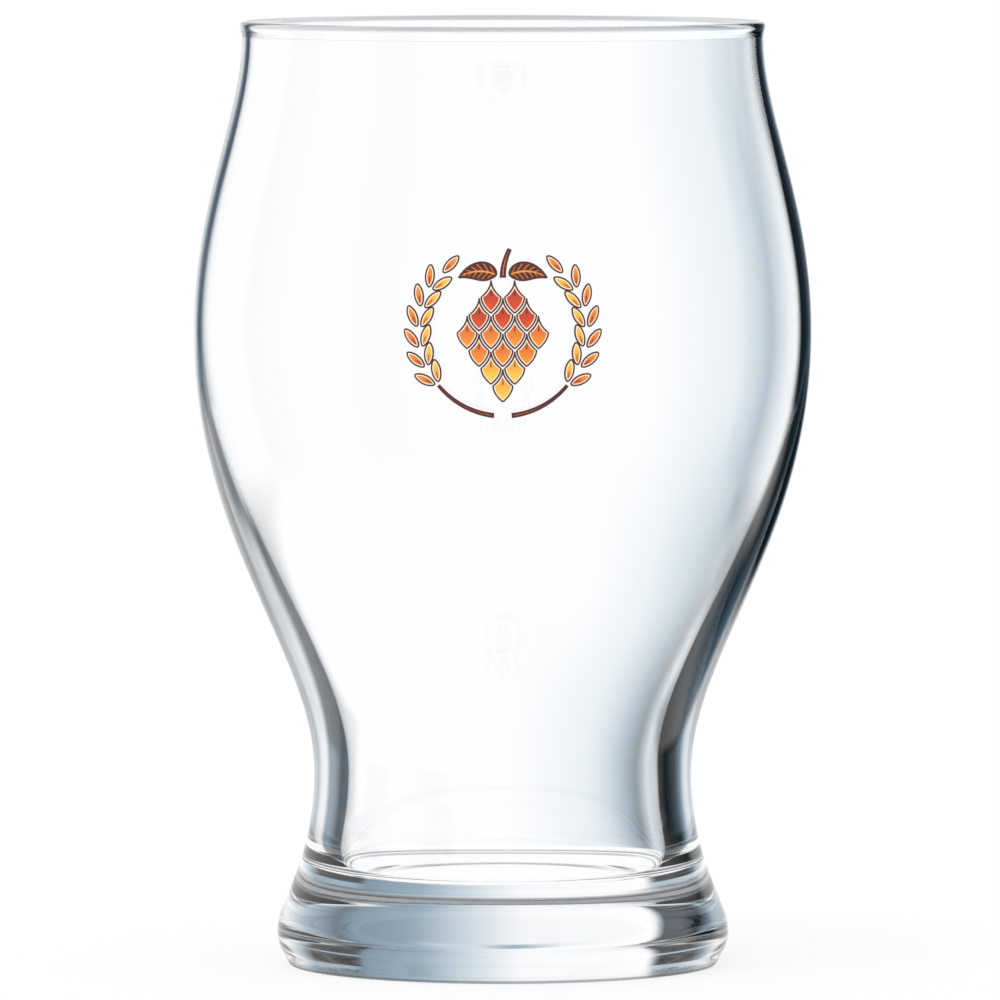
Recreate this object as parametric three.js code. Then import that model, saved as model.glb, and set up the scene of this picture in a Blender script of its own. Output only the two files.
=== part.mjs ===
// A waisted beer tumbler of clear pressed and blown glass. Its front carries a fired enamel print of a hop
// cone between two barley ears. Millimetres, +Z up: the glass stands on z = 0 and the print faces -Y.
import * as THREE from 'three';

// Outer wall: the radii and heights at which its curve runs straight up
const HEIGHT = 136;
const NECK_RADIUS = 37.5;
const BELLY_RADIUS = 44.45;
const BELLY_HEIGHT = 91.6;
const WAIST_RADIUS = 27.2;
const WAIST_HEIGHT = 27.8;
const FOOT_RADIUS = 32.55;
const FOOT_HEIGHT = 4.9;

// Lip: a fire-polished bead that stands a little proud of the neck
const LIP_HEIGHT = 2.2;
const LIP_BEAD = 0.3;

// Underside: a round heel that runs into a bevel, the flat ring that the glass stands on, and a hollow inside it
const HEEL_INSET = 3.6;
const HEEL_SWEEP = 38;
const RING_EDGE = 0.35;
const RING_WIDTH = 2.4;
const PUNT_DEPTH = 2.6;

// Wall and floor
const RIM_WALL = 1.1;
const BELLY_WALL = 1.75;
const WAIST_WALL = 4.9;
const FLOOR_WALL = 5.8;
const FLOOR_HEIGHT = 12.6;
const FLOOR_CORNER = 1.6;

// How long each curve keeps upright at its two ends, as shares of the climb between them
const BEAD_CURVE = { lower: 0.4, upper: 0.4 };
const NECK_CURVE = { lower: 0.43, upper: 0.265 };
const BOWL_CURVE = { lower: 0.27, upper: 0.485 };
const FLARE_CURVE = { lower: 0.185, upper: 0.57 };
const CAVITY_BOWL_CURVE = { lower: 0.28, upper: 0.45 };
const CAVITY_FLARE_CURVE = { lower: 0.3, upper: 0.5 };

// Print: its centre height, the enamel, and the clear glass left between two patches of it
const PRINT_HEIGHT = 93.4;
const ENAMEL_THICKNESS = 0.08;
const ENAMEL_GAP = 0.05;
const PATCH_GAP = 0.35;
const PATCH_TIP = 0.25;

// Hop cone: rows of scales from its crown to its tip, with a stem and two leaves on the crown
const SCALES_IN_ROWS = [2, 3, 4, 3, 2, 1];
const SCALE_PITCH = 3.35;
const SCALE_ROW_PITCH = 2.5;
const CROWN_RISE = 7.2;
const LEAF_LENGTH = 5.8;
const LEAF_WIDTH = 2.8;
const LEAF_HEADING = 26;
const LEAF_DROOP = 60;
const STEM_LENGTH = 4.2;
const STEM_WIDTH = 0.95;
const STEM_BEND = 28;

// Barley ears: an arc of grain pairs that ends in one grain, on a stalk along the same arc
const EAR_CLEARANCE = 5.2;
const EAR_START = -38;
const GRAIN_PAIRS = 6;
const GRAIN_LENGTH = 3.3;
const GRAIN_WIDTH = 1.5;
const STALK_START = -84;
const STALK_WIDTH = 0.75;
const STALK_CLEARANCE = 1.2;

// Faces round the glass
const TURN_STEPS = 64;

const clearGlass = new THREE.MeshStandardMaterial({
  color: 0xeaf3f5,
  roughness: 0.02,
  metalness: 0,
  transparent: true,
  opacity: 0.35,
});
const enamel = (color) => new THREE.MeshStandardMaterial({ color, roughness: 0.3, metalness: 0 });
const maroon = enamel(0x4a0d10);
const red = enamel(0xc2301c);
const orange = enamel(0xe8701d);
const yellow = enamel(0xf6b42a);

// A curve in the section that is upright at both ends, from its lower end to its upper one.
function uprightCurve(lowerRadius, lowerHeight, upperRadius, upperHeight, hold) {
  const climb = upperHeight - lowerHeight;
  return new THREE.CubicBezierCurve(
    new THREE.Vector2(lowerRadius, lowerHeight),
    new THREE.Vector2(lowerRadius, lowerHeight + hold.lower * climb),
    new THREE.Vector2(upperRadius, upperHeight - hold.upper * climb),
    new THREE.Vector2(upperRadius, upperHeight),
  );
}

const neckHeight = HEIGHT - LIP_HEIGHT;
const flare = uprightCurve(FOOT_RADIUS, FOOT_HEIGHT, WAIST_RADIUS, WAIST_HEIGHT, FLARE_CURVE);
const bowl = uprightCurve(WAIST_RADIUS, WAIST_HEIGHT, BELLY_RADIUS, BELLY_HEIGHT, BOWL_CURVE);
const neck = uprightCurve(BELLY_RADIUS, BELLY_HEIGHT, NECK_RADIUS, neckHeight, NECK_CURVE);

// Outer radius of the glass at a height between its foot and its neck, found by halving the curve there.
function outerRadius(height) {
  const upper = height > BELLY_HEIGHT ? neck : bowl;
  const curve = height > WAIST_HEIGHT ? upper : flare;
  let low = 0;
  let high = 1;
  for (let halving = 0; halving < 40; halving += 1) {
    const middle = (low + high) / 2;
    const below = curve.getPoint(middle).y < height;
    low = below ? middle : low;
    high = below ? high : middle;
  }
  return curve.getPoint(low).x;
}

// The glass's section, from the axis under it, up the outside, over the lip and down inside to the floor.
function glassSection() {
  const mouthRadius = NECK_RADIUS - RIM_WALL;
  const lipRadius = (RIM_WALL + LIP_BEAD) / 2;
  const lipHeight = HEIGHT - lipRadius;
  const cavityBelly = BELLY_RADIUS - BELLY_WALL;
  const cavityWaist = WAIST_RADIUS - WAIST_WALL;
  const cornerTop = FLOOR_HEIGHT + FLOOR_CORNER;
  const floorRadius = outerRadius(cornerTop) - FLOOR_WALL;
  const bottom = -Math.PI / 2;

  // The bevel goes on along the heel's last slope, and a small round takes it into the ring.
  const sweep = THREE.MathUtils.degToRad(HEEL_SWEEP);
  const heelCentre = FOOT_RADIUS - HEEL_INSET;
  const heel = new THREE.EllipseCurve(heelCentre, FOOT_HEIGHT, HEEL_INSET, FOOT_HEIGHT, -sweep, 0);
  const heelEnd = heel.getPoint(0);
  const bevelLean = (HEEL_INSET / FOOT_HEIGHT) * Math.tan(sweep);
  const bevelGround = new THREE.Vector2(heelEnd.x - bevelLean * heelEnd.y, 0);
  const bevelEnd = bevelGround.clone().lerp(heelEnd, RING_EDGE / bevelGround.distanceTo(heelEnd));
  const ringOuter = bevelGround.x - RING_EDGE;
  const ringInner = ringOuter - RING_WIDTH;
  const ringEdge = new THREE.QuadraticBezierCurve(new THREE.Vector2(ringOuter, 0), bevelGround, bevelEnd);

  const punt = new THREE.QuadraticBezierCurve(
    new THREE.Vector2(0, PUNT_DEPTH),
    new THREE.Vector2(ringInner / 2, PUNT_DEPTH),
    new THREE.Vector2(ringInner, 0),
  );
  const bead = uprightCurve(NECK_RADIUS, neckHeight, NECK_RADIUS + LIP_BEAD, lipHeight, BEAD_CURVE);
  const lip = new THREE.EllipseCurve(mouthRadius + lipRadius, lipHeight, lipRadius, lipRadius, 0, Math.PI);
  const mouth = new THREE.LineCurve(
    new THREE.Vector2(mouthRadius, neckHeight),
    new THREE.Vector2(mouthRadius, lipHeight),
  );
  const cavityNeck = uprightCurve(cavityBelly, BELLY_HEIGHT, mouthRadius, neckHeight, NECK_CURVE);
  const cavityBowl = uprightCurve(cavityWaist, WAIST_HEIGHT, cavityBelly, BELLY_HEIGHT, CAVITY_BOWL_CURVE);
  const cavityFlare = uprightCurve(floorRadius, cornerTop, cavityWaist, WAIST_HEIGHT, CAVITY_FLARE_CURVE);
  const cornerCentre = floorRadius - FLOOR_CORNER;
  const corner = new THREE.EllipseCurve(cornerCentre, cornerTop, FLOOR_CORNER, FLOOR_CORNER, bottom, 0);
  const floor = new THREE.LineCurve(
    new THREE.Vector2(0, FLOOR_HEIGHT),
    new THREE.Vector2(cornerCentre, FLOOR_HEIGHT),
  );

  const base = [[punt, 5], [ringEdge, 2], [heel, 4]];
  const outside = [...base, [flare, 6], [bowl, 10], [neck, 7], [bead, 3], [lip, 6]];
  const inside = [[mouth, 1], [cavityNeck, 7], [cavityBowl, 10], [cavityFlare, 3], [corner, 4], [floor, 1]];
  const points = outside.flatMap(([curve, steps]) => curve.getPoints(steps));
  points.push(...inside.flatMap(([curve, steps]) => curve.getPoints(steps).reverse()));
  return points.filter((point, i) => i === 0 || point.distanceTo(points[i - 1]) > 1e-6);
}

// Outlines of the patches: width, as a share of the widest, along a patch from its root 0 to its tip 1
const scaleOutline = (along) => (along < 0.5 ? (2 * along) ** 2 : 1 - (2 * along - 1) ** 2);
const grainOutline = (along) => (4 * along * (1 - along)) ** 0.75;
const leafOutline = (along) => Math.sin(Math.PI * along ** 0.7);
const strokeOutline = (along) => 1 - 0.4 * along;

// One patch of enamel. In the flat drawing it runs from its root along an arc; u is across the front of the
// glass and v is up it, from the print's centre. The drawing is then wrapped round the outer wall.
function enamelPatch(name, material, { root, heading, length, width, turn = 0, outline, steps = 6 }) {
  const geometry = new THREE.BoxGeometry(1, 1, 1, 1, steps, 1);
  const position = geometry.attributes.position;
  const start = THREE.MathUtils.degToRad(heading);
  const bend = THREE.MathUtils.degToRad(turn);
  for (let i = 0; i < position.count; i += 1) {
    const along = position.getY(i) + 0.5;
    const depth = position.getZ(i) + 0.5;
    const angle = start + bend * along;
    const halfBend = (bend * along) / 2;
    const chord = length * along * (halfBend === 0 ? 1 : Math.sin(halfBend) / halfBend);
    const across = position.getX(i) * (PATCH_TIP + (width - PATCH_TIP) * outline(along));
    const u = root[0] + chord * Math.cos(start + halfBend) + across * Math.sin(angle);
    const v = root[1] + chord * Math.sin(start + halfBend) - across * Math.cos(angle);
    const height = PRINT_HEIGHT + v;
    const radius = outerRadius(height) + ENAMEL_GAP + depth * ENAMEL_THICKNESS;
    const bearing = u / BELLY_RADIUS;
    position.setXYZ(i, radius * Math.sin(bearing), -radius * Math.cos(bearing), height);
  }
  geometry.computeVertexNormals();
  const mesh = new THREE.Mesh(geometry, material);
  mesh.name = name;
  return mesh;
}

// The cone's scales tile a staggered grid, hollow above and rounded below, so each nests under two others.
function hopCone() {
  const cone = new THREE.Group();
  const inks = [red, orange, yellow];
  let number = 0;
  SCALES_IN_ROWS.forEach((count, row) => {
    const ink = inks[Math.floor((row * inks.length) / SCALES_IN_ROWS.length)];
    for (let column = 0; column < count; column += 1) {
      number += 1;
      const scale = enamelPatch(`hop_scale_${number}`, ink, {
        root: [(column - (count - 1) / 2) * SCALE_PITCH, CROWN_RISE - row * SCALE_ROW_PITCH],
        heading: -90,
        length: 2 * SCALE_ROW_PITCH - PATCH_GAP,
        width: SCALE_PITCH - PATCH_GAP,
        outline: scaleOutline,
      });
      cone.add(scale);
    }
  });
  return cone;
}

// A stem leaves the cone's crown between two drooping leaves.
function hopTop() {
  const top = new THREE.Group();
  const base = CROWN_RISE + PATCH_GAP;
  const stem = enamelPatch('hop_stem', maroon, {
    root: [0, base],
    heading: 90,
    length: STEM_LENGTH,
    width: STEM_WIDTH,
    turn: -STEM_BEND,
    outline: strokeOutline,
  });
  top.add(stem);
  for (const [name, side] of [['hop_leaf_left', -1], ['hop_leaf_right', 1]]) {
    const leaf = enamelPatch(name, maroon, {
      root: [side * (STEM_WIDTH / 2 + PATCH_GAP), base + PATCH_GAP],
      heading: side > 0 ? LEAF_HEADING : 180 - LEAF_HEADING,
      length: LEAF_LENGTH,
      width: LEAF_WIDTH,
      turn: -side * LEAF_DROOP,
      outline: leafOutline,
      steps: 8,
    });
    top.add(leaf);
  }
  return top;
}

// The ears' arc clears the cone's sides and leaves, and its stalks clear the cone's tip.
const coneHalfWidth = (Math.max(...SCALES_IN_ROWS) * SCALE_PITCH) / 2;
const coneTipDrop = (SCALES_IN_ROWS.length + 1) * SCALE_ROW_PITCH - CROWN_RISE;
const leafReach = STEM_WIDTH / 2 + PATCH_GAP + LEAF_LENGTH;
const earRadius = Math.max(
  coneHalfWidth + EAR_CLEARANCE,
  leafReach + EAR_CLEARANCE,
  coneTipDrop + STALK_CLEARANCE + STALK_WIDTH / 2,
);
const degreesPerMm = 180 / (Math.PI * earRadius);

// Grains overlap the next pair by a seventh of their length, and splay just far enough to clear it.
const grainPitch = (6 / 7) * GRAIN_LENGTH;
const grainSplay = THREE.MathUtils.radToDeg(Math.asin((0.64 * GRAIN_WIDTH + PATCH_GAP) / grainPitch));

// One ear and its stalk. Angles go round the print's centre from the ear's side; the left ear is mirrored.
function barleyEar(name, side) {
  const ear = new THREE.Group();
  const place = (angle, radius) => {
    const turned = THREE.MathUtils.degToRad(angle);
    return [side * radius * Math.cos(turned), radius * Math.sin(turned)];
  };
  const headingAt = (angle) => (side > 0 ? angle + 90 : 90 - angle);

  const stalkTurn = EAR_START - STALK_START - PATCH_GAP * degreesPerMm;
  const stalk = enamelPatch(`barley_stalk_${name}`, maroon, {
    root: place(STALK_START, earRadius),
    heading: headingAt(STALK_START),
    length: stalkTurn / degreesPerMm,
    width: STALK_WIDTH,
    turn: side * stalkTurn,
    outline: strokeOutline,
    steps: 8,
  });
  ear.add(stalk);

  const addGrain = (number, angle, radius, splay) => {
    const grain = enamelPatch(`barley_grain_${name}_${number}`, number % 2 ? orange : yellow, {
      root: place(angle, radius),
      heading: headingAt(angle + splay),
      length: GRAIN_LENGTH,
      width: GRAIN_WIDTH,
      outline: grainOutline,
    });
    ear.add(grain);
  };
  const rootGap = (PATCH_GAP + PATCH_TIP) / 2;
  for (let pair = 0; pair < GRAIN_PAIRS; pair += 1) {
    const angle = EAR_START + pair * grainPitch * degreesPerMm;
    addGrain(2 * pair + 1, angle, earRadius + rootGap, -grainSplay);
    addGrain(2 * pair + 2, angle, earRadius - rootGap, grainSplay);
  }
  const tipAngle = EAR_START + GRAIN_PAIRS * grainPitch * degreesPerMm;
  addGrain(2 * GRAIN_PAIRS + 1, tipAngle, earRadius, 0);
  return ear;
}

const glassBody = new THREE.Mesh(new THREE.LatheGeometry(glassSection(), TURN_STEPS), clearGlass);
glassBody.name = 'glass_body';
glassBody.rotation.x = Math.PI / 2;

const tumbler = new THREE.Group();
tumbler.add(glassBody, hopCone(), hopTop(), barleyEar('left', -1), barleyEar('right', 1));

export default tumbler;
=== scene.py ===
import math

import bpy
import numpy as np
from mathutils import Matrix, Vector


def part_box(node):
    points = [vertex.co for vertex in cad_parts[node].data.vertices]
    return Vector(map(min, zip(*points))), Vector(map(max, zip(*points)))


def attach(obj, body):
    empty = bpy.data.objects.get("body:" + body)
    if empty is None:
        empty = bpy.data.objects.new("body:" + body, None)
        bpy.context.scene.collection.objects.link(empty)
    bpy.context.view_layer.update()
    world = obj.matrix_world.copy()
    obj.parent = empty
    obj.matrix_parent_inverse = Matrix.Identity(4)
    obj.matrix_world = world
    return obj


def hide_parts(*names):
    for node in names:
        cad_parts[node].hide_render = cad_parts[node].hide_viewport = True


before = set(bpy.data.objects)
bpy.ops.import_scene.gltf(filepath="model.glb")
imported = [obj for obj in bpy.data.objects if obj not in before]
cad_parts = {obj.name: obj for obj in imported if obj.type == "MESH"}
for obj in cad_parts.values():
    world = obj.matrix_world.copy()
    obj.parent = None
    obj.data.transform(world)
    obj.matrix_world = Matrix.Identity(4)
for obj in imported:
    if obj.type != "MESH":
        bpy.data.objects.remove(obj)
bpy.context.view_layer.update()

MM = 0.001

# The glass body's sizes, those of the solid that it stands for
glass_low, glass_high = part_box("glass_body")
HEIGHT = glass_high.z
BELLY_RADIUS = (glass_high.x - glass_low.x) / 2
BELLY_HEIGHT = 91.6 * MM
NECK_RADIUS = 37.5 * MM
WAIST_RADIUS = 27.2 * MM
WAIST_HEIGHT = 27.8 * MM
FOOT_RADIUS = 32.55 * MM
FOOT_HEIGHT = 4.9 * MM
LIP_HEIGHT = 2.2 * MM
LIP_BEAD = 0.3 * MM
HEEL_INSET = 3.6 * MM
HEEL_SWEEP = 38
RING_EDGE = 0.35 * MM
RING_WIDTH = 2.4 * MM
PUNT_DEPTH = 2.6 * MM
RIM_WALL = 1.1 * MM
BELLY_WALL = 1.75 * MM
WAIST_WALL = 4.9 * MM
FLOOR_WALL = 5.8 * MM
FLOOR_HEIGHT = 12.6 * MM
FLOOR_CORNER = 1.6 * MM
GLASS_TURNS = 256

# How far each wall curve runs on upright at its lower and its upper end, as shares of its climb
BEAD_HOLD = (0.4, 0.4)
NECK_HOLD = (0.43, 0.265)
BOWL_HOLD = (0.27, 0.485)
FLARE_HOLD = (0.185, 0.57)
CAVITY_BOWL_HOLD = (0.28, 0.45)
CAVITY_FLARE_HOLD = (0.3, 0.5)

# The print: a hop cone between two ears of barley
PRINT_HEIGHT = 93.4 * MM
ENAMEL_THICKNESS = 0.08 * MM
ENAMEL_GAP = 0.02 * MM
PATCH_GAP = 0.35 * MM
PATCH_TIP = 0.25 * MM
SCALES_IN_ROWS = (2, 3, 4, 3, 2, 1)
SCALE_PITCH = 3.35 * MM
SCALE_ROW_PITCH = 2.5 * MM
CROWN_RISE = 7.2 * MM
LEAF_LENGTH = 5.8 * MM
LEAF_WIDTH = 2.8 * MM
LEAF_HEADING = 26
LEAF_DROOP = 60
STEM_LENGTH = 4.2 * MM
STEM_WIDTH = 0.95 * MM
STEM_BEND = 28
EAR_CLEARANCE = 5.2 * MM
EAR_START = -38
GRAIN_PAIRS = 6
GRAIN_LENGTH = 3.3 * MM
GRAIN_WIDTH = 1.5 * MM
GRAIN_OFFSET = 0.3 * MM
GRAIN_SPLAY = 0.64
STALK_START = -84
STALK_WIDTH = 0.75 * MM
STALK_CLEARANCE = 1.2 * MM
PATCH_ROWS = 40
PATCH_LOOP = 32
PATCH_EDGE = 0.4

# Camera, as the photograph sees the glass: its place in metres, and the frame's width at the axis
CAMERA_DISTANCE = 1.81
CAMERA_HEIGHT = 0.1775
AIM_HEIGHT = 67.0 * MM
AIM_SIDE = -0.4 * MM
FRAME_WIDTH = 144.1 * MM
SENSOR_WIDTH = 36.0


def srgb(red, green, blue):
    """A colour written in 0 to 255 display values, as linear light with full alpha."""
    shares = np.array([red, green, blue]) / 255
    linear = np.where(shares <= 0.04045, shares / 12.92, ((shares + 0.055) / 1.055) ** 2.4)
    return (*linear.tolist(), 1.0)


# Meshes

def closed_tube(name, rings, first_pole, last_pole):
    """A closed mesh: rings of points joined ring to ring by quads, with a fan to a pole at each end."""
    count, around, _ = rings.shape
    step = np.arange(around)
    turn = (step + 1) % around
    base = (np.arange(count - 1) * around)[:, None]
    corners = (base + step, base + turn, base + around + turn, base + around + step)
    quads = np.stack(corners, axis=-1).reshape(-1, 4)
    last = (count - 1) * around
    low_pole = np.full(around, count * around)
    first_fan = np.stack((low_pole, turn, step), axis=-1)
    last_fan = np.stack((low_pole + 1, last + step, last + turn), axis=-1)
    points = np.concatenate((rings.reshape(-1, 3), [first_pole, last_pole]))
    mesh = bpy.data.meshes.new(name)
    faces = quads.tolist() + first_fan.tolist() + last_fan.tolist()
    mesh.from_pydata(points.tolist(), [], faces)
    mesh.polygons.foreach_set("use_smooth", np.ones(len(mesh.polygons), dtype=bool))
    mesh.update()
    return mesh


def add_piece(name, mesh, material, node):
    """An object at the origin that stands for a CAD node, which it hides, and rides on the root."""
    piece = bpy.data.objects.new(name, mesh)
    bpy.context.scene.collection.objects.link(piece)
    mesh.materials.append(material)
    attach(piece, "root")
    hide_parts(node)
    return piece


# The outline of the glass

def upright_curve(lower, upper, hold, count):
    """Cubic Bezier from lower to upper that leaves and arrives upright: hold gives how far."""
    climb = upper[1] - lower[1]
    share = np.linspace(0, 1, count + 1)
    low_near, low_far = (1 - share) ** 3, 3 * (1 - share) ** 2 * share
    high_far, high_near = 3 * (1 - share) * share**2, share**3
    radius = (low_near + low_far) * lower[0] + (high_far + high_near) * upper[0]
    height = (low_near * lower[1] + low_far * (lower[1] + hold[0] * climb)
              + high_far * (upper[1] - hold[1] * climb) + high_near * upper[1])
    return np.stack((radius, height), axis=-1)


def straight(start, end, count):
    """Points at even steps from start to end."""
    share = np.linspace(0, 1, count + 1)[:, None]
    return (1 - share) * np.array(start) + share * np.array(end)


def round_corner(centre, radii, from_degrees, to_degrees, count):
    """An arc of an ellipse: centre plus the radii times the cosine and the sine of the angle."""
    angle = np.radians(np.linspace(from_degrees, to_degrees, count + 1))
    return np.stack((centre[0] + radii[0] * np.cos(angle), centre[1] + radii[1] * np.sin(angle)), axis=-1)


def bent(start, corner, end, count):
    """Quadratic Bezier that leaves start towards a corner and comes from that corner to end."""
    share = np.linspace(0, 1, count + 1)[:, None]
    start, corner, end = np.array(start), np.array(corner), np.array(end)
    return (1 - share) ** 2 * start + 2 * (1 - share) * share * corner + share**2 * end


def bevel_under_heel():
    """Where the heel's round ends, where its tangent meets the ground, and the bevel's lower end between."""
    sweep = math.radians(HEEL_SWEEP)
    end_radius = FOOT_RADIUS - HEEL_INSET * (1 - math.cos(sweep))
    heel_end = np.array((end_radius, FOOT_HEIGHT * (1 - math.sin(sweep))))
    lean = HEEL_INSET / FOOT_HEIGHT * math.tan(sweep)
    ground = np.array((heel_end[0] - lean * heel_end[1], 0.0))
    up_bevel = (heel_end - ground) / np.linalg.norm(heel_end - ground)
    return heel_end, ground, ground + RING_EDGE * up_bevel


heel_end, bevel_ground, bevel_end = bevel_under_heel()
RING_OUTER = float(bevel_ground[0]) - RING_EDGE
RING_INNER = RING_OUTER - RING_WIDTH
FOOT = (FOOT_RADIUS, FOOT_HEIGHT)
WAIST = (WAIST_RADIUS, WAIST_HEIGHT)
BELLY = (BELLY_RADIUS, BELLY_HEIGHT)
NECK = (NECK_RADIUS, HEIGHT - LIP_HEIGHT)
CURVE_POINTS = 900
outer_wall = np.concatenate((
    upright_curve(FOOT, WAIST, FLARE_HOLD, CURVE_POINTS),
    upright_curve(WAIST, BELLY, BOWL_HOLD, CURVE_POINTS)[1:],
    upright_curve(BELLY, NECK, NECK_HOLD, CURVE_POINTS)[1:],
))


def outer_radius(height):
    """The outer wall's radius at a height, read off its curves."""
    return np.interp(height, outer_wall[:, 1], outer_wall[:, 0])


def glass_outline():
    """Half the section of the glass: under the foot, up the outside, over the lip, down to the floor.
    Each stretch ends with its number of steps."""
    lip_radius = (RIM_WALL + LIP_BEAD) / 2
    lip_base = HEIGHT - lip_radius
    bead = (NECK_RADIUS + LIP_BEAD, lip_base)
    mouth = NECK_RADIUS - RIM_WALL
    inner_neck = (mouth, NECK[1])
    inner_belly = (BELLY_RADIUS - BELLY_WALL, BELLY_HEIGHT)
    inner_waist = (WAIST_RADIUS - WAIST_WALL, WAIST_HEIGHT)
    corner_height = FLOOR_HEIGHT + FLOOR_CORNER
    floor_radius = float(outer_radius(corner_height)) - FLOOR_WALL
    floor_edge = floor_radius - FLOOR_CORNER
    stretches = (
        bent((0, PUNT_DEPTH), (RING_INNER / 2, PUNT_DEPTH), (RING_INNER, 0), 28),
        straight((RING_INNER, 0), (RING_OUTER, 0), 4),
        bent((RING_OUTER, 0), bevel_ground, bevel_end, 8),
        straight(bevel_end, heel_end, 4),
        round_corner((FOOT_RADIUS - HEEL_INSET, FOOT_HEIGHT), (HEEL_INSET, FOOT_HEIGHT), -HEEL_SWEEP, 0, 20),
        upright_curve(FOOT, WAIST, FLARE_HOLD, 32),
        upright_curve(WAIST, BELLY, BOWL_HOLD, 56),
        upright_curve(BELLY, NECK, NECK_HOLD, 42),
        upright_curve(NECK, bead, BEAD_HOLD, 8),
        round_corner((mouth + lip_radius, lip_base), (lip_radius, lip_radius), 0, 180, 24),
        straight((mouth, lip_base), inner_neck, 4),
        upright_curve(inner_belly, inner_neck, NECK_HOLD, 42)[::-1],
        upright_curve(inner_waist, inner_belly, CAVITY_BOWL_HOLD, 56)[::-1],
        upright_curve((floor_radius, corner_height), inner_waist, CAVITY_FLARE_HOLD, 24)[::-1],
        round_corner((floor_edge, corner_height), (FLOOR_CORNER, FLOOR_CORNER), 0, -90, 18),
        straight((floor_edge, FLOOR_HEIGHT), (0, FLOOR_HEIGHT), 12),
    )
    return np.concatenate([stretch[1:] for stretch in stretches])[:-1]


def glass_mesh():
    """The outline turned about Z: x = radius * cos(turn), y = radius * sin(turn), z = height."""
    outline = glass_outline()
    turn = np.linspace(0, 2 * math.pi, GLASS_TURNS, endpoint=False)
    radius, height = outline[:, :1], outline[:, 1:]
    rings = np.stack((radius * np.cos(turn), radius * np.sin(turn), height + 0 * turn), axis=-1)
    return closed_tube("glass_body_dressed", rings, (0, 0, PUNT_DEPTH), (0, 0, FLOOR_HEIGHT))


# Node helpers

def new_material(name):
    """An empty node material with its output node."""
    material = bpy.data.materials.new(name)
    material.use_nodes = True
    tree = material.node_tree
    tree.nodes.clear()
    return material, tree, tree.nodes.new("ShaderNodeOutputMaterial")


def add(tree, kind, values=None, **settings):
    """A new node with its settings, and each named or numbered input set or linked."""
    node = tree.nodes.new("ShaderNode" + kind)
    for key, value in settings.items():
        setattr(node, key, value)
    for key, value in (values or {}).items():
        if isinstance(value, bpy.types.NodeSocket):
            tree.links.new(value, node.inputs[key])
        else:
            node.inputs[key].default_value = value
    return node


def maths(tree, operation, *values):
    """The result of one Math node."""
    return add(tree, "Math", dict(enumerate(values)), operation=operation).outputs[0]


def blend(tree, share, first, second):
    """A colour mixed from first at share 0 to second at share 1."""
    return add(tree, "Mix", {0: share, 6: first, 7: second}, data_type="RGBA").outputs[2]


def band(tree, value, low, high):
    """0 below low, 1 above high and a smooth step between."""
    values = {"Value": value, "From Min": low, "From Max": high}
    return add(tree, "MapRange", values, interpolation_type="SMOOTHSTEP").outputs["Result"]


def under(tree, value, low, high):
    """1 below low, 0 above high and a smooth step between."""
    return maths(tree, "SUBTRACT", 1.0, band(tree, value, low, high))


def ramp(tree, share, stops):
    """A Color Ramp with a colour at each stop."""
    node = add(tree, "ValToRGB", {"Fac": share})
    marks = node.color_ramp.elements
    marks[0].position, marks[1].position = stops[0][0], stops[-1][0]
    marks[0].color, marks[1].color = stops[0][1], stops[-1][1]
    for position, colour in stops[1:-1]:
        marks.new(position).color = colour
    return node.outputs["Color"]


# Finishes of the glass: its tint, the painted shade at the lip and at the edge that it stands on, how far
# that shade and the stipple reach, and the depths of the bumps

GLASS_TINT = (0.992, 0.997, 1.0, 1.0)
# Painted shade: a grey along the top of the lip, for the dark line that the rim shows
LIP_PAINTED_SHADE = (0.54, 0.545, 0.57, 1.0)
# Painted shade: a dark grey along the edge that the glass stands on, for the dark line of its contact shadow
EDGE_PAINTED_SHADE = (0.2, 0.21, 0.225, 1.0)
GROUND_TINT = (0.88, 0.91, 0.94, 1.0)
GROUND_ROUGHNESS = 0.8
GLASS_IOR = 1.52
LIP_SHADE_REACH = (HEIGHT - 0.8 * MM, HEIGHT - 0.6 * MM)
EDGE_SHADE_REACH = (0.35 * MM, 0.55 * MM)
STIPPLE_REACH = (0.6 * MM, 1.6 * MM)
RING_BLUR = 0.2 * MM
WAVE_SCALE = 45.0
WAVE_DEPTH = 0.1 * MM
WAVE_STRENGTH = 0.3
STIPPLE_SCALE = 900.0
STIPPLE_DEPTH = 0.05 * MM
STIPPLE_STRENGTH = 0.5
STIPPLE_ROUGHNESS = 0.35
FLAT_WITHIN = 0.005 * MM


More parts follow.
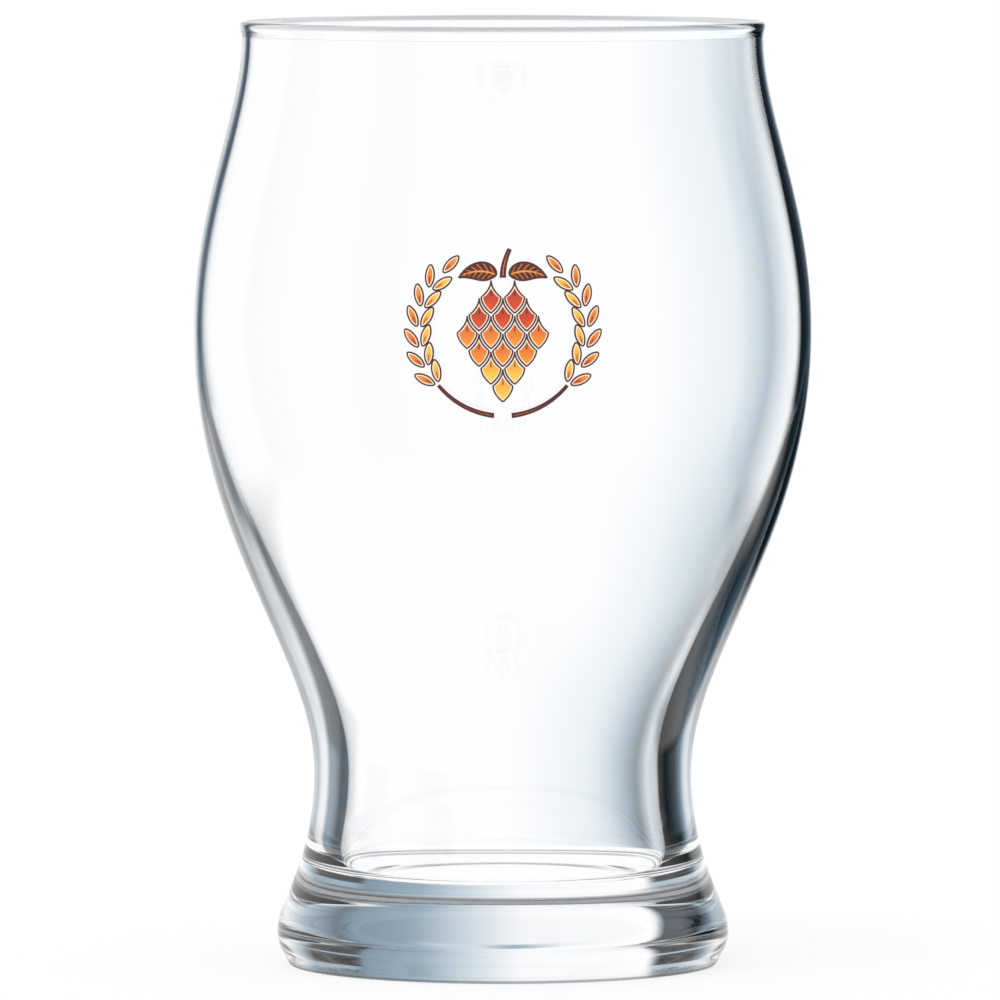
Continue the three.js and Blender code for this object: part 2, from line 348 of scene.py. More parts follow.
def clear_glass():
    """Fire-polished soda glass: faint drawn waves up the wall, a stippled ring under the heel, and painted
    shade: grey along the lip and dark grey along the edge that it stands on."""
    material, tree, output = new_material("clear_glass")
    place = add(tree, "TexCoord").outputs["Object"]
    waves = add(tree, "TexNoise", {"Vector": place, "Scale": WAVE_SCALE, "Detail": 1.0}).outputs["Fac"]
    stipple = add(tree, "TexVoronoi", {"Vector": place, "Scale": STIPPLE_SCALE}).outputs["Distance"]
    height = add(tree, "SeparateXYZ", {"Vector": place}).outputs["Z"]
    flattened = add(tree, "VectorMath", {0: place, 1: (1.0, 1.0, 0.0)}, operation="MULTIPLY")
    away = add(tree, "VectorMath", {0: flattened.outputs["Vector"]}, operation="LENGTH").outputs["Value"]
    outward = band(tree, away, RING_INNER - RING_BLUR, RING_INNER + RING_BLUR)
    on_heel = maths(tree, "MULTIPLY", outward, under(tree, height, *STIPPLE_REACH))
    stipple_bump = add(tree, "Bump", {"Height": maths(tree, "MULTIPLY", stipple, on_heel),
                                      "Strength": STIPPLE_STRENGTH,
                                      "Distance": STIPPLE_DEPTH}).outputs["Normal"]
    wave_bump = add(tree, "Bump", {"Height": waves, "Normal": stipple_bump,
                                   "Strength": WAVE_STRENGTH, "Distance": WAVE_DEPTH}).outputs["Normal"]
    roughness = maths(tree, "MULTIPLY", on_heel, STIPPLE_ROUGHNESS)
    # The glass's own faint tint, with painted shade in grey along the top of the lip
    glass_tint_and_shade = blend(tree, band(tree, height, *LIP_SHADE_REACH), GLASS_TINT, LIP_PAINTED_SHADE)
    # Painted shade: dark grey on the bevel just above the ring that the glass stands on
    on_shaded_edge = maths(tree, "MULTIPLY", outward, under(tree, height, *EDGE_SHADE_REACH))
    glass_tint_and_shade = blend(tree, on_shaded_edge, glass_tint_and_shade, EDGE_PAINTED_SHADE)
    shader = add(tree, "BsdfPrincipled", {"Base Color": glass_tint_and_shade, "Roughness": roughness, "IOR": GLASS_IOR,
                                          "Transmission Weight": 1.0, "Normal": wave_bump})
    tree.links.new(shader.outputs["BSDF"], output.inputs["Surface"])
    return material


def ground_glass():
    """The matt white face of the ring that the glass stands on, ground by use."""
    material, tree, output = new_material("ground_glass")
    shader = add(tree, "BsdfPrincipled", {"Base Color": GROUND_TINT, "Roughness": GROUND_ROUGHNESS})
    tree.links.new(shader.outputs["BSDF"], output.inputs["Surface"])
    return material


def grind_ring(mesh):
    """Give the ground finish to the faces whose middles lie at height 0."""
    middles = np.empty(3 * len(mesh.polygons))
    mesh.polygons.foreach_get("center", middles)
    mesh.materials.append(ground_glass())
    on_ground = np.abs(middles[2::3]) < FLAT_WITHIN
    mesh.polygons.foreach_set("material_index", on_ground.astype(np.int32))


# Finishes of the print: colours, the widths of drawn lines, and the speckle of the enamel

MAROON = srgb(74, 13, 16)
MAROON_DARK = srgb(66, 10, 14)
MAROON_LIGHT = srgb(92, 20, 20)
CREAM = srgb(252, 236, 205)
VEIN_ORANGE = srgb(240, 150, 60)
OUTLINE_WIDTH = 0.26 * MM
INLINE_WIDTH = 0.4 * MM
LINE_BLUR = 0.03 * MM
FILL_RANGE = (0.1, 0.85)
FILL_SPREAD = 0.24
CREASE_WIDTH = (0.05, 0.1)
CREASE_END = 0.5
CREASE_FADE = 0.06
RIB_WIDTH = (0.06, 0.12)
VEIN_WIDTH = (0.4, 0.46)
VEIN_INSET = (0.28 * MM, 0.4 * MM)
VEIN_PAIRS = 7.0
VEIN_SWEEP = 0.2
SPECKLE_SCALE = 5200.0
SPECKLE_DEPTH = 0.01 * MM
SPECKLE_STRENGTH = 0.25
PATCHY_SCALE = 900.0
ENAMEL_ROUGHNESS = 0.18
ENAMEL_IOR = 1.5


def film_marks(tree):
    """A film's own measures: how far in from its edge, and the shares along and across it."""
    marks = ("edge", "along", "across")
    return [add(tree, "Attribute", attribute_name=mark).outputs["Fac"] for mark in marks]


def patchy_noise(tree):
    """The slow noise that the enamel's colour and gloss follow."""
    place = add(tree, "TexCoord").outputs["Object"]
    return add(tree, "TexNoise", {"Vector": place, "Scale": PATCHY_SCALE, "Detail": 2.0}).outputs["Fac"]


def gloss_coat(tree, output, colour, patchy):
    """The enamel's surface: a fine speckle, and a roughness that grows with the patchy noise."""
    place = add(tree, "TexCoord").outputs["Object"]
    speckle = add(tree, "TexNoise", {"Vector": place, "Scale": SPECKLE_SCALE, "Detail": 3.0}).outputs["Fac"]
    raised = {"Height": speckle, "Strength": SPECKLE_STRENGTH, "Distance": SPECKLE_DEPTH}
    bump = add(tree, "Bump", raised).outputs["Normal"]
    roughness = maths(tree, "MULTIPLY_ADD", patchy, ENAMEL_ROUGHNESS, ENAMEL_ROUGHNESS)
    shader = add(tree, "BsdfPrincipled", {"Base Color": colour, "Roughness": roughness, "Normal": bump,
                                          "IOR": ENAMEL_IOR})
    tree.links.new(shader.outputs["BSDF"], output.inputs["Surface"])


def fired_enamel(name, root_colour, tip_colour):
    """Gloss enamel: a maroon outline, a cream line inside it, a fill shaded from root to tip, and a short
    maroon crease from the root."""
    material, tree, output = new_material(name)
    edge, along, across = film_marks(tree)
    patchy = patchy_noise(tree)
    shade = maths(tree, "ADD", along, maths(tree, "MULTIPLY_ADD", patchy, FILL_SPREAD, -FILL_SPREAD / 2))
    fill = ramp(tree, shade, ((FILL_RANGE[0], root_colour), (FILL_RANGE[1], tip_colour)))
    crease = under(tree, maths(tree, "ABSOLUTE", across), *CREASE_WIDTH)
    short = under(tree, along, CREASE_END - CREASE_FADE, CREASE_END)
    lined = blend(tree, maths(tree, "MULTIPLY", crease, short), fill, MAROON)
    trimmed = blend(tree, under(tree, edge, INLINE_WIDTH - LINE_BLUR, INLINE_WIDTH), lined, CREAM)
    colour = blend(tree, under(tree, edge, OUTLINE_WIDTH - LINE_BLUR, OUTLINE_WIDTH), trimmed, MAROON)
    gloss_coat(tree, output, colour, patchy)
    return material


def maroon_enamel():
    """Gloss maroon enamel with an orange midrib and side veins, which only the broad leaves show."""
    material, tree, output = new_material("enamel_maroon")
    edge, along, across = film_marks(tree)
    patchy = patchy_noise(tree)
    fill = blend(tree, patchy, MAROON_DARK, MAROON_LIGHT)
    sideways = maths(tree, "ABSOLUTE", across)
    rib = under(tree, sideways, *RIB_WIDTH)
    swept = maths(tree, "SUBTRACT", along, maths(tree, "MULTIPLY", sideways, VEIN_SWEEP))
    wave = maths(tree, "PINGPONG", maths(tree, "MULTIPLY", swept, VEIN_PAIRS), 0.5)
    vein = band(tree, wave, *VEIN_WIDTH)
    lines = maths(tree, "MULTIPLY", maths(tree, "MAXIMUM", rib, vein), band(tree, edge, *VEIN_INSET))
    gloss_coat(tree, output, blend(tree, lines, fill, VEIN_ORANGE), patchy)
    return material


glass_finish = clear_glass()
INKS = {
    "enamel_maroon": maroon_enamel(),
    "enamel_red": fired_enamel("enamel_red", srgb(150, 22, 16), srgb(220, 74, 28)),
    "enamel_orange": fired_enamel("enamel_orange", srgb(206, 66, 22), srgb(244, 146, 38)),
    "enamel_yellow": fired_enamel("enamel_yellow", srgb(232, 124, 28), srgb(253, 204, 74)),
}


# The enamel patches

def scale_outline(share):
    """A hop scale's breadth along its length: two parabolas that meet at half, pointed at both ends."""
    return np.where(share < 0.5, (2 * share) ** 2, 1 - (2 * share - 1) ** 2)


def grain_outline(share):
    """A barley grain's breadth: a parabola made fuller by a power under one."""
    return (4 * share * (1 - share)) ** 0.75


def leaf_outline(share):
    """A leaf's breadth: half a sine wave, pushed towards the root."""
    return np.sin(math.pi * share**0.7)


def stroke_outline(share):
    """A stem's breadth: it thins evenly to three fifths."""
    return 1 - 0.4 * share


def enamel_patch(name, slot, root, heading, turn, length, width, outline):
    """A film on the wall: a flat loop carried along an arc that starts at root, heading in degrees.

    Along the arc the heading grows evenly by turn, so a point at a share of it lies a chord away from
    the root, at half the turn so far. The loop is as broad as the outline gives, with a rounded edge,
    and its points are laid on the wall at their height, with the way round measured at the belly.
    """
    share = np.linspace(0, 1, PATCH_ROWS + 1)[:, None]
    start = math.radians(heading)
    half_bend = math.radians(turn) * share / 2
    chord = length * share * np.sinc(half_bend / math.pi)
    angle = start + 2 * half_bend
    breadth = PATCH_TIP + (width - PATCH_TIP) * outline(share)
    loop = np.linspace(0, 2 * math.pi, PATCH_LOOP, endpoint=False)
    sideways = np.cos(loop)
    lift = 0.5 + 0.5 * np.sign(np.sin(loop)) * np.abs(np.sin(loop)) ** PATCH_EDGE
    offset = breadth / 2 * sideways
    round_wall = root[0] + chord * np.cos(start + half_bend) + offset * np.sin(angle)
    up_wall = root[1] + chord * np.sin(start + half_bend) - offset * np.cos(angle)
    rings = lay_on_wall(round_wall, up_wall, lift)
    mesh = closed_tube(name, rings, rings[0].mean(axis=0), rings[-1].mean(axis=0))
    slope = np.gradient(breadth[:, 0] / 2, length / PATCH_ROWS)[:, None]
    to_side = breadth / 2 * (1 - np.abs(sideways)) / np.sqrt(1 + slope**2)
    to_end = length * np.minimum(share, 1 - share)
    marks = {"edge": np.minimum(to_side, to_end), "along": share + 0 * loop, "across": sideways + 0 * share}
    for mark, grid in marks.items():
        layer = mesh.attributes.new(mark, "FLOAT", "POINT")
        values = np.concatenate((grid.ravel(), [grid[0].mean(), grid[-1].mean()]))
        layer.data.foreach_set("value", values.astype(np.float32))
    film = add_piece(name + "_film", mesh, INKS[slot], name)
    film.visible_glossy = False
    return film


def lay_on_wall(round_wall, up_wall, lift):
    """Points of the flat print laid on the wall: bearing by the way round, radius by the height."""
    height = PRINT_HEIGHT + up_wall
    radius = outer_radius(height) + ENAMEL_GAP + ENAMEL_THICKNESS * lift
    bearing = round_wall / BELLY_RADIUS
    return np.stack((radius * np.sin(bearing), -radius * np.cos(bearing), height), axis=-1)


def hop_cone():
    """Rows of scales that hang from the crown, a stem above it and a leaf to each side."""
    row_inks = ("enamel_red",) * 2 + ("enamel_orange",) * 2 + ("enamel_yellow",) * 2
    number = 0
    for row, count in enumerate(SCALES_IN_ROWS):
        for column in range(count):
            number += 1
            root = ((column - (count - 1) / 2) * SCALE_PITCH, CROWN_RISE - row * SCALE_ROW_PITCH)
            enamel_patch(f"hop_scale_{number}", row_inks[row], root, -90, 0,
                         2 * SCALE_ROW_PITCH - PATCH_GAP, SCALE_PITCH - PATCH_GAP, scale_outline)
    enamel_patch("hop_stem", "enamel_maroon", (0, CROWN_RISE + PATCH_GAP), 90, -STEM_BEND,
                 STEM_LENGTH, STEM_WIDTH, stroke_outline)
    for side, name in ((-1, "left"), (1, "right")):
        root = (side * (STEM_WIDTH / 2 + PATCH_GAP), CROWN_RISE + 2 * PATCH_GAP)
        heading = LEAF_HEADING if side > 0 else 180 - LEAF_HEADING
        enamel_patch(f"hop_leaf_{name}", "enamel_maroon", root, heading, -side * LEAF_DROOP,
                     LEAF_LENGTH, LEAF_WIDTH, leaf_outline)


def ear_radius():
    """The ears' arc clears the cone at its widest row, the leaves' tips and the cone's tip."""
    cone_half = max(SCALES_IN_ROWS) * SCALE_PITCH / 2
    droop = math.radians(LEAF_DROOP)
    leaf_chord = LEAF_LENGTH * np.sinc(droop / 2 / math.pi)
    leaf_angle = math.radians(LEAF_HEADING) - droop / 2
    leaf_reach = STEM_WIDTH / 2 + PATCH_GAP + leaf_chord * math.cos(leaf_angle)
    tip_drop = (len(SCALES_IN_ROWS) + 1) * SCALE_ROW_PITCH - CROWN_RISE
    return max(cone_half + EAR_CLEARANCE, leaf_reach + EAR_CLEARANCE,
               tip_drop + STALK_CLEARANCE + STALK_WIDTH / 2)


def barley_ear(side, name):
    """A stalk along an arc round the cone, pairs of grains splayed off it, and one grain at its tip."""
    arc = ear_radius()
    degrees_per_metre = 180 / (math.pi * arc)
    pitch = GRAIN_LENGTH * GRAIN_PAIRS / (GRAIN_PAIRS + 1)
    splay = math.degrees(math.asin((GRAIN_SPLAY * GRAIN_WIDTH + PATCH_GAP) / pitch))

    def place(angle, radius):
        """A point of the arc, mirrored for the left ear."""
        return side * radius * math.cos(math.radians(angle)), radius * math.sin(math.radians(angle))

    def heading_at(angle):
        """The heading along the arc, mirrored for the left ear."""
        return angle + 90 if side > 0 else 90 - angle

    def grain(number, angle, radius, splay_out):
        """One grain that starts on the arc and points along it, splayed outwards or inwards."""
        ink = "enamel_orange" if number % 2 else "enamel_yellow"
        enamel_patch(f"barley_grain_{name}_{number}", ink, place(angle, radius),
                     heading_at(angle) - side * splay_out, 0, GRAIN_LENGTH, GRAIN_WIDTH, grain_outline)

    for pair in range(GRAIN_PAIRS):
        angle = EAR_START + pair * pitch * degrees_per_metre
        grain(2 * pair + 1, angle, arc + GRAIN_OFFSET, splay)
        grain(2 * pair + 2, angle, arc - GRAIN_OFFSET, -splay)
    grain(2 * GRAIN_PAIRS + 1, EAR_START + GRAIN_PAIRS * pitch * degrees_per_metre, arc, 0)
    stalk_end = EAR_START - PATCH_GAP * degrees_per_metre
    stalk_turn = stalk_end - STALK_START
    enamel_patch(f"barley_stalk_{name}", "enamel_maroon", place(STALK_START, arc), heading_at(STALK_START),
                 side * stalk_turn, stalk_turn / degrees_per_metre, STALK_WIDTH, stroke_outline)


glass = add_piece("glass_body_dressed", glass_mesh(), glass_finish, "glass_body")
grind_ring(glass.data)
hop_cone()
barley_ear(-1, "left")
barley_ear(1, "right")


# Sizes of the floor, the screen and the lamp, and where the floor and the screen fade

FLOOR_RADIUS = 0.11
FLOOR_SIDES = 96
FLOOR_FADE = (0.05, FLOOR_RADIUS)
FLOOR_FADE_IN_GLASS = (34 * MM, 40 * MM)
FLOOR_MATT = (0.85, 0.85, 0.85, 1.0)
FLOOR_GLOW = 0.7
FLOOR_STRENGTH = 1.05
FLOOR_DROP = 0.02 * MM
SCREEN_RADIUS = 100 * MM
SCREEN_SIDES = 180
SCREEN_LOW = 24 * MM
SCREEN_HIGH = 180 * MM
SCREEN_FADE = (SCREEN_LOW, 42 * MM)
LAMP_SIZE = 1.2
LAMP_POWER = 6.0
LAMP_PLACE = (-0.9, -1.0, 1.2)
NEAREST_SEEN = 0.05
WHITE = (1.0, 1.0, 1.0, 1.0)

# Panels round the glass, as bearings in degrees and a brightness from 0 to 255. Bearing 0 is behind it.
# The screen stands round the bowl. What shows through the bowl: white, with one soft streak on the right
SCREEN_BOWL = (
    (-76, 255), (-60, 215), (-48, 250), (-38, 255), (14, 255), (24, 235), (27, 210), (30, 160), (36, 215),
    (42, 240), (54, 200), (64, 255),
)
SCREEN_BOWL_LOW = (
    (-80, 255), (-60, 210), (-48, 250), (-38, 255), (9, 255), (17, 240), (23, 210), (30, 150), (36, 215),
    (42, 240), (54, 200), (64, 255),
)
# What the wall mirrors of the screen: a narrow dark strip on the left, a broad one on the right, and grey
# ones at the sides and in front
SCREEN_WALL = (
    (-152, 255), (-147, 170), (-134, 170), (-130, 255), (-108, 255), (-103, 170), (-90, 170), (-84, 255),
    (-56, 255), (-52, 220), (-49, 45), (-43, 10), (-38, 185), (-30, 245), (0, 255), (20, 240), (32, 170),
    (40, 45), (52, 20), (58, 255), (75, 255), (79, 170), (92, 170), (96, 255),
)
# What the outside of the glass mirrors of the screen: white, but dark on the right, and higher up a narrow
# grey strip on the left too
SCREEN_OUTSIDE_LOW = ((32, 255), (38, 110), (42, 40), (57, 40), (64, 255))
SCREEN_OUTSIDE = ((-54, 255), (-50, 140), (-44, 140), (-40, 255)) + SCREEN_OUTSIDE_LOW
# The world shows under the screen. What the outside mirrors of it, and the same for rays that fall steeply
WAIST_OUTSIDE = ((36, 255), (44, 110), (50, 40), (62, 30), (72, 255))
WAIST_OUTSIDE_STEEP = ((14, 255), (20, 170), (26, 100), (42, 80), (50, 255))
# What shows through the waist
WAIST_BOWL = (
    (-98, 255), (-75, 165), (-68, 215), (-52, 190), (-36, 250), (-20, 255), (0, 255), (6, 235), (12, 160),
    (16, 80), (23, 205), (30, 135), (38, 40), (56, 40), (64, 255),
)
# What the waist's wall mirrors, and the same for rays that fall steeply
WAIST_WALL_PANEL = (
    (-142, 255), (-137, 170), (-120, 170), (-114, 255), (-96, 255), (-91, 170), (-78, 170), (-72, 255),
    (-66, 255), (-60, 90), (-44, 45), (-34, 130), (-28, 130), (-21, 250), (-10, 245), (-2, 170), (4, 225),
    (12, 205), (20, 130), (28, 35), (52, 15), (58, 255),
)
WAIST_WALL_STEEP = (
    (-66, 255), (-60, 90), (-44, 45), (-28, 60), (-21, 245), (-8, 245), (2, 195), (7, 120), (20, 40),
    (30, 10), (52, 10), (58, 255),
)
# What the foot mirrors for rays that rise, and what shows straight through it
FOOT_MIRROR = (
    (-148, 255), (-144, 60), (-130, 60), (-120, 255), (-95, 250), (-74, 160), (-58, 165), (-48, 30),
    (-32, 60), (-29, 255), (-3, 250), (7, 210), (15, 165), (28, 140), (34, 95), (50, 180), (66, 255),
)
FOOT_STRAIGHT = (
    (-66, 255), (-54, 130), (-48, 10), (-36, 20), (-33, 50), (-30, 255), (-3, 250), (7, 210), (15, 165),
    (28, 135), (30, 40), (36, 10), (48, 25), (56, 190), (66, 255),
)
# The same at the horizon, where a pale strip runs behind the ends of the foot
FOOT_HORIZON = (
    (-66, 255), (-50, 215), (-36, 180), (-32, 200), (-30, 255), (-3, 250), (7, 210), (15, 165), (28, 135),
    (32, 165), (50, 165), (66, 255),
)
# How blue a half bright panel is, and the shares of that in green and blue
PANE_BLUE = 0.36
PANE_GREEN_SHARE = 0.1
PANE_BLUE_SHARE = 0.85

# Heights on the screen between which one set of panels passes into the next
BOWL_CHANGE = (33 * MM, 75 * MM)
OUTSIDE_CHANGE = (62 * MM, 80 * MM)
OFTEN_CHANGE = (54 * MM, 60 * MM)
# What shows through the bowl turns by this share of a full turn further up
STREAK_TURN = 3 / 360
STREAK_CHANGE = (90 * MM, 120 * MM)
# The opening behind the glass for mirrored rays: its upper border, and its side borders as shares of a turn
OPENING_TOP = (47 * MM, 49 * MM)
OPENING_SIDE = (35 / 360, 37 / 360)

# Elevations in degrees between which one set of the world's panels passes into the next
STEEP_CHANGE = (-16.0, -12.0)
WALL_BOTTOM = (-31.0, -27.0)
BOWL_BOTTOM = (-24.0, -20.0)
FOOT_BOTTOM = (-18.0, -14.0)
OUTSIDE_BOTTOM = (-38.0, -30.0)
HORIZON_START = (-0.8, -0.2)
HORIZON_END = (2.0, 2.8)
MIRROR_START = (2.8, 4.2)
MIRROR_END = (22.0, 28.0)
PANELS_TOP = (48.0, 60.0)


def pane(brightness):
    """A grey of a brightness from 0 to 255, tinted blue between black and white and bluest halfway."""
    blue = PANE_BLUE * brightness * (255 - brightness) / 255
    return srgb(brightness - blue, brightness + PANE_GREEN_SHARE * blue, brightness + PANE_BLUE_SHARE * blue)


def bearing_share(tree, vector):
    """The compass bearing of a vector about Z, from +Y towards +X, with -180 to 180 degrees as 0 to 1, and
    the vector's height."""
    way = add(tree, "SeparateXYZ", {"Vector": vector})
    bearing = maths(tree, "ARCTAN2", way.outputs["X"], way.outputs["Y"])
    values = {"Value": bearing, "From Min": -math.pi, "From Max": math.pi}
    return add(tree, "MapRange", values).outputs["Result"], way.outputs["Z"]


def panels(tree, share, stops):
    """A Color Ramp whose stops are bearings in degrees and brightnesses."""
    return ramp(tree, share, [((degrees + 180) / 360, pane(brightness)) for degrees, brightness in stops])


def by_path(tree, path, bowl, wall, foot):
    """One of three colours for a ray that went straight through the bowl, was mirrored inside the wall, or
    went straight through solid glass. Rays that did more than that see white."""
    mirrored = maths(tree, "GREATER_THAN", path.outputs["Glossy Depth"], 0.5)
    crossed = maths(tree, "GREATER_THAN", path.outputs["Transmission Depth"], 3.5)
    return blend(tree, mirrored, blend(tree, crossed, foot, bowl), blend(tree, crossed, wall, WHITE))


def mirrored_often(tree, path):
    """1 for a ray that was mirrored three times or more, else 0."""
    return maths(tree, "GREATER_THAN", path.outputs["Glossy Depth"], 2.5)


def pale_floor():
    """A white floor that shows the shadow faintly, is plain white through the glass, and fades out away
    from the foot."""
    material, tree, output = new_material("pale_floor")
    place = add(tree, "TexCoord").outputs["Object"]
    away = add(tree, "VectorMath", {0: place}, operation="LENGTH").outputs["Value"]
    through = add(tree, "Emission", {"Color": WHITE}).outputs["Emission"]
    matt = add(tree, "BsdfDiffuse", {"Color": FLOOR_MATT}).outputs["BSDF"]
    lit = add(tree, "Emission", {"Color": WHITE, "Strength": FLOOR_STRENGTH}).outputs["Emission"]
    shadowed = add(tree, "MixShader", {0: FLOOR_GLOW, 1: matt, 2: lit}).outputs["Shader"]
    clear_ray = add(tree, "LightPath").outputs["Is Transmission Ray"]
    seen = add(tree, "MixShader", {0: clear_ray, 1: shadowed, 2: through}).outputs["Shader"]
    clear = add(tree, "BsdfTransparent").outputs["BSDF"]
    fade = blend(tree, clear_ray, band(tree, away, *FLOOR_FADE), band(tree, away, *FLOOR_FADE_IN_GLASS))
    faded = add(tree, "MixShader", {0: fade, 1: seen, 2: clear}).outputs["Shader"]
    tree.links.new(faded, output.inputs["Surface"])
    return material


def screen_colour(tree, path, share, height):
    """What the screen shows to a ray by its path: through the bowl, inside the wall or off the outside."""
    turn = maths(tree, "MULTIPLY", STREAK_TURN, band(tree, height, *STREAK_CHANGE))
    turned = maths(tree, "ADD", share, turn)
    bowl = blend(tree, band(tree, height, *BOWL_CHANGE), panels(tree, turned, SCREEN_BOWL_LOW),
                 panels(tree, turned, SCREEN_BOWL))
    often_low = maths(tree, "MULTIPLY", mirrored_often(tree, path), under(tree, height, *OFTEN_CHANGE))
    wall = blend(tree, often_low, panels(tree, share, SCREEN_WALL), WHITE)
    outside = blend(tree, band(tree, height, *OUTSIDE_CHANGE), panels(tree, share, SCREEN_OUTSIDE_LOW),
                    panels(tree, share, SCREEN_OUTSIDE))
    bent_ray = by_path(tree, path, bowl, wall, WHITE)
    return blend(tree, path.outputs["Is Reflection Ray"], bent_ray, outside)


def screen_paper():
    """The panels of the screen, glowing and fading out downwards. Low down behind the glass, rays mirrored
    inside it pass through."""
    material, tree, output = new_material("screen_paper")
    share, height = bearing_share(tree, add(tree, "TexCoord").outputs["Object"])
    path = add(tree, "LightPath")
    colour = screen_colour(tree, path, share, height)
    glow = add(tree, "Emission", {"Color": colour}).outputs["Emission"]
    mirrored = maths(tree, "SUBTRACT", maths(tree, "MINIMUM", path.outputs["Glossy Depth"], 1.0),
                     path.outputs["Is Reflection Ray"])
    aside = maths(tree, "ABSOLUTE", maths(tree, "SUBTRACT", share, 0.5))
    shut = maths(tree, "MAXIMUM", band(tree, height, *OPENING_TOP), band(tree, aside, *OPENING_SIDE))
    passed = maths(tree, "MULTIPLY", mirrored, maths(tree, "SUBTRACT", 1.0, shut))
    opened = maths(tree, "MAXIMUM", passed, under(tree, height, *SCREEN_FADE))
    clear = add(tree, "BsdfTransparent").outputs["BSDF"]
    paper = add(tree, "MixShader", {0: opened, 1: glow, 2: clear}).outputs["Shader"]
    tree.links.new(paper, output.inputs["Surface"])
    return material


def add_studio_mesh(name, points, faces, material):
    """An object of the studio, which is no piece of the part."""
    mesh = bpy.data.meshes.new(name)
    mesh.from_pydata(points.reshape(-1, 3).tolist(), [], faces)
    thing = bpy.data.objects.new(name, mesh)
    bpy.context.scene.collection.objects.link(thing)
    mesh.materials.append(material)
    return thing


def add_screen():
    """An open cylinder round the bowl, x = radius * sin(turn) and y = radius * cos(turn), which only shows
    through the glass and mirrored in it."""
    turn = np.linspace(0, 2 * math.pi, SCREEN_SIDES, endpoint=False)
    height = np.array((SCREEN_LOW, SCREEN_HIGH))[:, None]
    across, back = SCREEN_RADIUS * np.sin(turn), SCREEN_RADIUS * np.cos(turn)
    points = np.stack(np.broadcast_arrays(across, back, height), axis=-1)
    step = np.arange(len(turn))
    after = (step + 1) % len(turn)
    faces = np.stack((step, after, after + len(turn), step + len(turn)), axis=-1)
    screen = add_studio_mesh("screen", points, faces.tolist(), screen_paper())
    screen.visible_camera = False
    screen.visible_diffuse = False
    screen.visible_shadow = False


def add_floor():
    """A disc of two rings, at half and at full radius: x = radius * cos(turn) and y = radius * sin(turn)."""
    turn = np.linspace(0, 2 * math.pi, FLOOR_SIDES, endpoint=False)
    radius = np.array((FLOOR_RADIUS / 2, FLOOR_RADIUS))[:, None]
    points = np.stack((radius * np.cos(turn), radius * np.sin(turn), 0 * radius * turn), axis=-1)
    step = np.arange(len(turn))
    after = (step + 1) % len(turn)
    outer = np.stack((step, step + len(turn), after + len(turn), after), axis=-1)
    floor = add_studio_mesh("pale_floor", points, [step.tolist()] + outer.tolist(), pale_floor())
    floor.location.z = -FLOOR_DROP


def world_colour(tree, path, share, level):
    """What the world shows to a ray by its path: through the waist or the foot, inside the wall, or off
    the outside."""
    wall = blend(tree, band(tree, level, *STEEP_CHANGE), panels(tree, share, WAIST_WALL_STEEP),
                 panels(tree, share, WAIST_WALL_PANEL))
    wall = blend(tree, band(tree, level, *WALL_BOTTOM), WHITE, wall)
    past_mirror = maths(tree, "MAXIMUM", mirrored_often(tree, path), band(tree, level, *MIRROR_END))
    mirror = blend(tree, past_mirror, panels(tree, share, FOOT_MIRROR), WHITE)
    wall = blend(tree, band(tree, level, *MIRROR_START), wall, mirror)
    bowl = blend(tree, band(tree, level, *BOWL_BOTTOM), WHITE, panels(tree, share, WAIST_BOWL))
    foot = blend(tree, band(tree, level, *FOOT_BOTTOM), WHITE, panels(tree, share, FOOT_STRAIGHT))
    horizon = maths(tree, "SUBTRACT", band(tree, level, *HORIZON_START), band(tree, level, *HORIZON_END))
    foot = blend(tree, horizon, foot, panels(tree, share, FOOT_HORIZON))
    outside = blend(tree, band(tree, level, *STEEP_CHANGE), panels(tree, share, WAIST_OUTSIDE_STEEP),
                    panels(tree, share, WAIST_OUTSIDE))
    outside = blend(tree, band(tree, level, *OUTSIDE_BOTTOM), WHITE, outside)
    bent_ray = by_path(tree, path, bowl, wall, foot)
    return blend(tree, path.outputs["Is Reflection Ray"], bent_ray, outside)


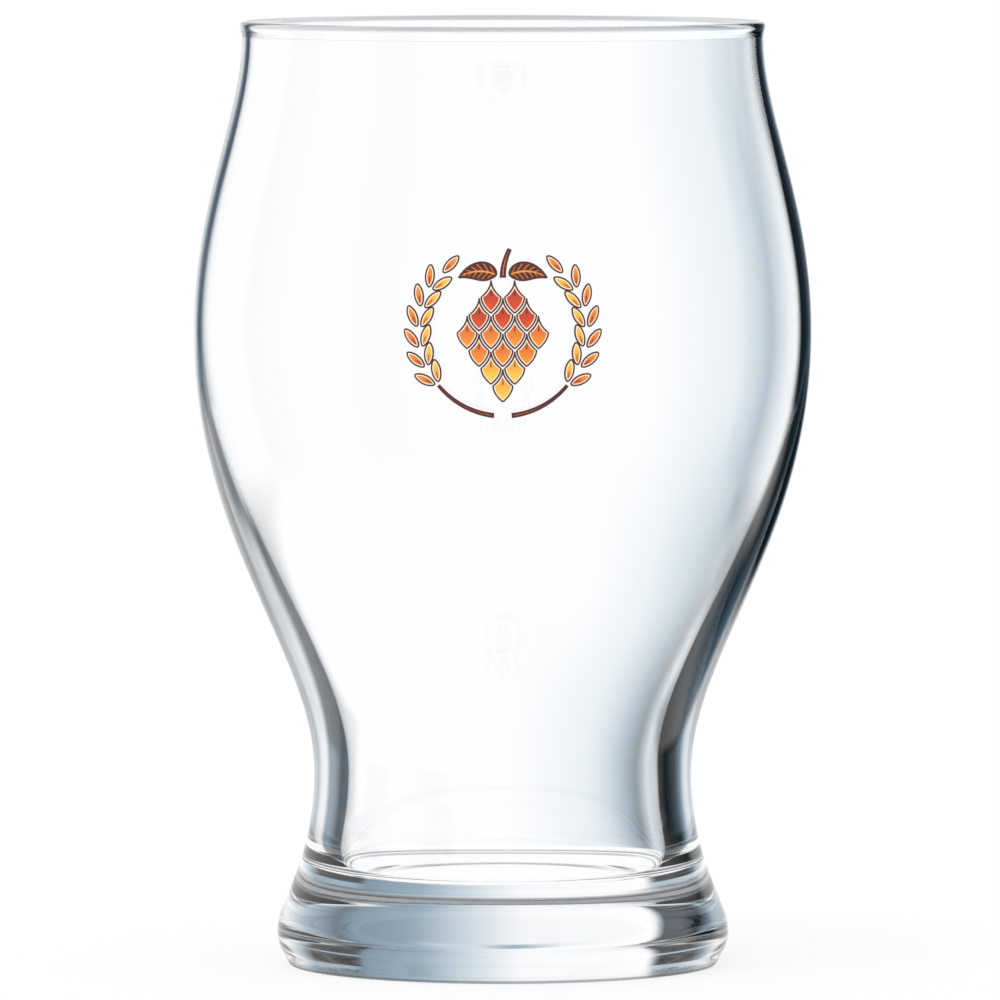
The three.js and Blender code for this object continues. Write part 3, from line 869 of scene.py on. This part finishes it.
def studio_world():
    """White to the camera and to matt surfaces. To the glass it shows panels near the horizon, by a ray's
    path, and white above and below them."""
    world = bpy.data.worlds.new("studio")
    bpy.context.scene.world = world
    world.use_nodes = True
    tree = world.node_tree
    tree.nodes.clear()
    output = tree.nodes.new("ShaderNodeOutputWorld")
    share, rise = bearing_share(tree, add(tree, "TexCoord").outputs["Generated"])
    level = maths(tree, "DEGREES", maths(tree, "ARCSINE", rise))
    path = add(tree, "LightPath")
    pattern = world_colour(tree, path, share, level)
    clear_ray = maths(tree, "MAXIMUM", path.outputs["Is Glossy Ray"], path.outputs["Is Transmission Ray"])
    patterned = maths(tree, "MULTIPLY", clear_ray, under(tree, level, *PANELS_TOP))
    colour = blend(tree, patterned, WHITE, pattern)
    light = add(tree, "Background", {"Color": colour, "Strength": 1.0}).outputs["Background"]
    tree.links.new(light, output.inputs["Surface"])


def add_lamp():
    """One broad soft lamp from the upper left, unseen in the glass, for the print and the shadow."""
    data = bpy.data.lights.new("soft_lamp", "AREA")
    data.shape = "DISK"
    data.size = LAMP_SIZE
    data.energy = LAMP_POWER
    lamp = bpy.data.objects.new("soft_lamp", data)
    bpy.context.scene.collection.objects.link(lamp)
    lamp.location = LAMP_PLACE
    aim = -lamp.location
    lamp.rotation_mode = "QUATERNION"
    lamp.rotation_quaternion = aim.to_track_quat("-Z", "Y")
    lamp.visible_glossy = False
    lamp.visible_transmission = False
    lamp.visible_camera = False


def add_camera():
    """A long lens at the photograph's height and distance, aimed a little beside the axis."""
    data = bpy.data.cameras.new("camera")
    camera = bpy.data.objects.new("camera", data)
    bpy.context.scene.collection.objects.link(camera)
    camera.location = (AIM_SIDE, -CAMERA_DISTANCE, CAMERA_HEIGHT)
    drop = CAMERA_HEIGHT - AIM_HEIGHT
    camera.rotation_euler = (math.pi / 2 - math.atan2(drop, CAMERA_DISTANCE), 0, 0)
    data.sensor_width = SENSOR_WIDTH
    data.lens = SENSOR_WIDTH * math.hypot(CAMERA_DISTANCE, drop) / FRAME_WIDTH
    data.clip_start = NEAREST_SEEN
    bpy.context.scene.camera = camera


add_floor()
add_screen()
studio_world()
add_lamp()
add_camera()
bpy.context.scene.view_settings.view_transform = "Standard"
